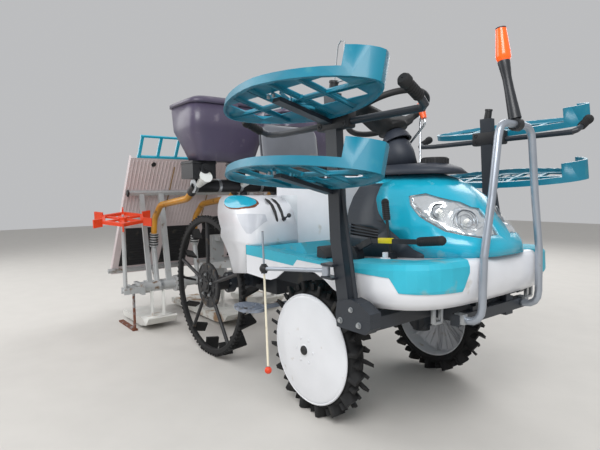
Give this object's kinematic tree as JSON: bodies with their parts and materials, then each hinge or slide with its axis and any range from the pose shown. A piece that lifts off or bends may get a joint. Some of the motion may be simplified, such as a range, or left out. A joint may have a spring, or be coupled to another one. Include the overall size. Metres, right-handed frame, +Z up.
{
  "type": "rice transplanter",
  "caption": "Riding rice transplanter with seedling racks, fertiliser hoppers and a lifted planting section behind on a linkage.",
  "frame": {"origin": "centre of the part's bounding box in X and Y, on the ground", "axes": "+X forward, +Y to the machine's left, +Z up"},
  "size_m": [3.013, 1.7528, 1.4991],
  "materials": {
    "dark_frame_paint": "satin",
    "cast_grey": "satin",
    "steel_paint": "satin",
    "bright_steel": "satin",
    "teal_panel": "gloss",
    "white_panel": "gloss",
    "dark_plastic": "matte",
    "step_grey": "matte",
    "seat_vinyl": "satin",
    "lamp_lens": "gloss",
    "smoked_plastic": "gloss",
    "amber_hose": "satin",
    "tyre_rubber": "matte",
    "wheel_white": "satin",
    "wheel_black": "satin",
    "float_plastic": "satin",
    "table_plastic": "satin",
    "marker_orange": "satin"
  },
  "bodies": {
    "chassis": {"chassis_frame": "dark_frame_paint", "engine_block": "cast_grey", "transmission_case": "dark_frame_paint", "front_axle_case": "dark_frame_paint", "bonnet": "teal_panel", "headlamps": "lamp_lens", "dash_hood": "dark_plastic", "side_panels": "dark_plastic", "column_cover": "dark_plastic", "floor_deck": "teal_panel", "side_skirts": "white_panel", "front_bumper": "white_panel", "rear_cover": "white_panel", "seat_base": "white_panel", "levers_and_pedals": "dark_plastic", "footsteps": "step_grey", "rack_posts": "dark_frame_paint", "rack_plates": "teal_panel", "guard_hoop": "bright_steel", "blower_duct": "dark_plastic", "hopper_right": "smoked_plastic", "hopper_left": "smoked_plastic", "metering_units": "dark_plastic", "air_hoses": "amber_hose"},
    "steering": {"steering_wheel": "dark_plastic"},
    "seat": {"seat_cushion": "seat_vinyl", "seat_back": "dark_plastic"},
    "centre_marker": {"centre_marker": "dark_plastic"},
    "lower_links": {"lower_links": "dark_frame_paint"},
    "top_link": {"top_link": "dark_frame_paint"},
    "lift_barrel": {"lift_barrel": "dark_frame_paint"},
    "lift_rod": {"lift_rod": "bright_steel"},
    "planting_section": {"planter_frame": "steel_paint", "planting_cases": "steel_paint", "floats": "float_plastic"},
    "seedling_table": {"seedling_table": "table_plastic", "table_racks": "teal_panel"},
    "knuckle_right": {"knuckle_right": "dark_frame_paint"},
    "front_wheel_right": {"front_tyre_right": "tyre_rubber", "front_disc_right": "wheel_white"},
    "rear_wheel_right": {"rear_ring_right": "tyre_rubber", "rear_hub_right": "wheel_black"},
    "hopper_lid_right": {"hopper_lid_right": "smoked_plastic"},
    "side_marker_right": {"side_marker_right": "bright_steel"},
    "rotor_right": {"rotor_right": "steel_paint"},
    "stand_right": {"stand_right": "steel_paint"},
    "marker_arm_right": {"marker_arm_right": "steel_paint"},
    "marker_star_right": {"marker_star_right": "marker_orange"},
    "knuckle_left": {"knuckle_left": "dark_frame_paint"},
    "front_wheel_left": {"front_tyre_left": "tyre_rubber", "front_disc_left": "wheel_white"},
    "rear_wheel_left": {"rear_ring_left": "tyre_rubber", "rear_hub_left": "wheel_black"},
    "hopper_lid_left": {"hopper_lid_left": "smoked_plastic"},
    "side_marker_left": {"side_marker_left": "bright_steel"},
    "rotor_left": {"rotor_left": "steel_paint"},
    "stand_left": {"stand_left": "steel_paint"},
    "marker_arm_left": {"marker_arm_left": "steel_paint"},
    "marker_star_left": {"marker_star_left": "marker_orange"}
  },
  "joints": [
    {"name": "steering_turn", "type": "hinge", "parent": "chassis", "child": "steering", "pos_m": [0.89325, 0, 1.268], "axis": [-0.4067, 0, 0.9135], "range_deg": [-400, 400]},
    {"name": "steer_right", "type": "hinge", "parent": "chassis", "child": "knuckle_right", "pos_m": [0.86425, -0.295, 0.34], "axis": [0, 0, 1], "range_deg": [-40, 40]},
    {"name": "front_wheel_spin_right", "type": "hinge", "parent": "knuckle_right", "child": "front_wheel_right", "pos_m": [0.86425, -0.394, 0.2775], "axis": [0, 1, 0], "continuous": true},
    {"name": "rear_wheel_spin_right", "type": "hinge", "parent": "chassis", "child": "rear_wheel_right", "pos_m": [-0.06175, -0.388, 0.4], "axis": [0, 1, 0], "continuous": true},
    {"name": "lid_right", "type": "hinge", "parent": "chassis", "child": "hopper_lid_right", "pos_m": [-0.31575, -0.3, 1.392], "axis": [0, -1, 0], "range_deg": [0, 100]},
    {"name": "side_marker_swing_right", "type": "hinge", "parent": "chassis", "child": "side_marker_right", "pos_m": [1.07825, -0.53, 0.64], "axis": [0, 0, 1], "range_deg": [0, 90]},
    {"name": "steer_left", "type": "hinge", "parent": "chassis", "child": "knuckle_left", "pos_m": [0.86425, 0.295, 0.34], "axis": [0, 0, 1], "range_deg": [-40, 40]},
    {"name": "front_wheel_spin_left", "type": "hinge", "parent": "knuckle_left", "child": "front_wheel_left", "pos_m": [0.86425, 0.394, 0.2775], "axis": [0, 1, 0], "continuous": true},
    {"name": "rear_wheel_spin_left", "type": "hinge", "parent": "chassis", "child": "rear_wheel_left", "pos_m": [-0.06175, 0.388, 0.4], "axis": [0, 1, 0], "continuous": true},
    {"name": "lid_left", "type": "hinge", "parent": "chassis", "child": "hopper_lid_left", "pos_m": [-0.31575, 0.3, 1.392], "axis": [0, -1, 0], "range_deg": [0, 100]},
    {"name": "side_marker_swing_left", "type": "hinge", "parent": "chassis", "child": "side_marker_left", "pos_m": [1.07825, 0.53, 0.64], "axis": [0, 0, -1], "range_deg": [0, 90]},
    {"name": "seat_tip", "type": "hinge", "parent": "chassis", "child": "seat", "pos_m": [0.62825, 0, 0.992], "axis": [0, 1, 0], "range_deg": [0, 60]},
    {"name": "centre_marker_fold", "type": "hinge", "parent": "chassis", "child": "centre_marker", "pos_m": [1.48825, 0, 1.15], "axis": [0, -1, 0], "range_deg": [0, 85]},
    {"name": "lift", "type": "hinge", "parent": "chassis", "child": "lower_links", "pos_m": [-0.21175, 0, 0.472], "axis": [0, 1, 0], "range_deg": [0, 40], "deforming": ["air_hoses"]},
    {"name": "section_level", "type": "hinge", "parent": "lower_links", "child": "planting_section", "pos_m": [-0.67718, 0, 0.40659], "axis": [0, 1, 0], "range_deg": [-40, 0]},
    {"name": "top_link_pivot", "type": "hinge", "parent": "chassis", "child": "top_link", "pos_m": [-0.21175, 0, 0.66], "axis": [0, 1, 0], "range_deg": [0, 40]},
    {"name": "barrel_pivot", "type": "hinge", "parent": "chassis", "child": "lift_barrel", "pos_m": [0.17825, 0, 0.574], "axis": [0, 1, 0], "range_deg": [-0.5, 0.5]},
    {"name": "rod_slide", "type": "slide", "parent": "lift_barrel", "child": "lift_rod", "axis": [-1, 0, -0.0035], "range_m": [0, 0.0617]},
    {"name": "table_shift", "type": "slide", "parent": "planting_section", "child": "seedling_table", "axis": [0, 1, 0], "range_m": [-0.12, 0.12]},
    {"name": "rotor_spin_right", "type": "hinge", "parent": "planting_section", "child": "rotor_right", "pos_m": [-1.35175, -0.3, 0.178], "axis": [0, 1, 0], "continuous": true},
    {"name": "stand_fold_right", "type": "hinge", "parent": "planting_section", "child": "stand_right", "pos_m": [-0.80175, -0.601, 0.298], "axis": [0, 1, 0], "range_deg": [0, 40]},
    {"name": "marker_swing_right", "type": "hinge", "parent": "planting_section", "child": "marker_arm_right", "pos_m": [-0.70175, -0.684, 0.298], "axis": [1, 0, 0], "range_deg": [0, 100]},
    {"name": "marker_star_spin_right", "type": "hinge", "parent": "marker_arm_right", "child": "marker_star_right", "pos_m": [-0.70175, -0.684, 0.762], "axis": [0.2151, -0.067, 0.9743], "continuous": true},
    {"name": "rotor_spin_left", "type": "hinge", "parent": "planting_section", "child": "rotor_left", "pos_m": [-1.35175, 0.3, 0.178], "axis": [0, 1, 0], "continuous": true},
    {"name": "stand_fold_left", "type": "hinge", "parent": "planting_section", "child": "stand_left", "pos_m": [-0.80175, 0.601, 0.298], "axis": [0, 1, 0], "range_deg": [0, 40]},
    {"name": "marker_swing_left", "type": "hinge", "parent": "planting_section", "child": "marker_arm_left", "pos_m": [-0.70175, 0.684, 0.298], "axis": [-1, 0, 0], "range_deg": [0, 100]},
    {"name": "marker_star_spin_left", "type": "hinge", "parent": "marker_arm_left", "child": "marker_star_left", "pos_m": [-0.70175, 0.684, 0.762], "axis": [0.2151, 0.067, 0.9743], "continuous": true}
  ],
  "couplings": [
    {"joint": "steer_right", "follows": "steering_turn", "ratio": 0.1},
    {"joint": "steer_left", "follows": "steering_turn", "ratio": 0.1},
    {"joint": "section_level", "follows": "lift", "ratio": -1},
    {"joint": "top_link_pivot", "follows": "lift", "ratio": 1},
    {"joint": "barrel_pivot", "follows": "lift", "ratio": 0.005},
    {"joint": "rod_slide", "follows": "lift", "m_per_rad": 0.08824},
    {"joint": "rotor_spin_left", "follows": "rotor_spin_right", "ratio": 1}
  ]
}
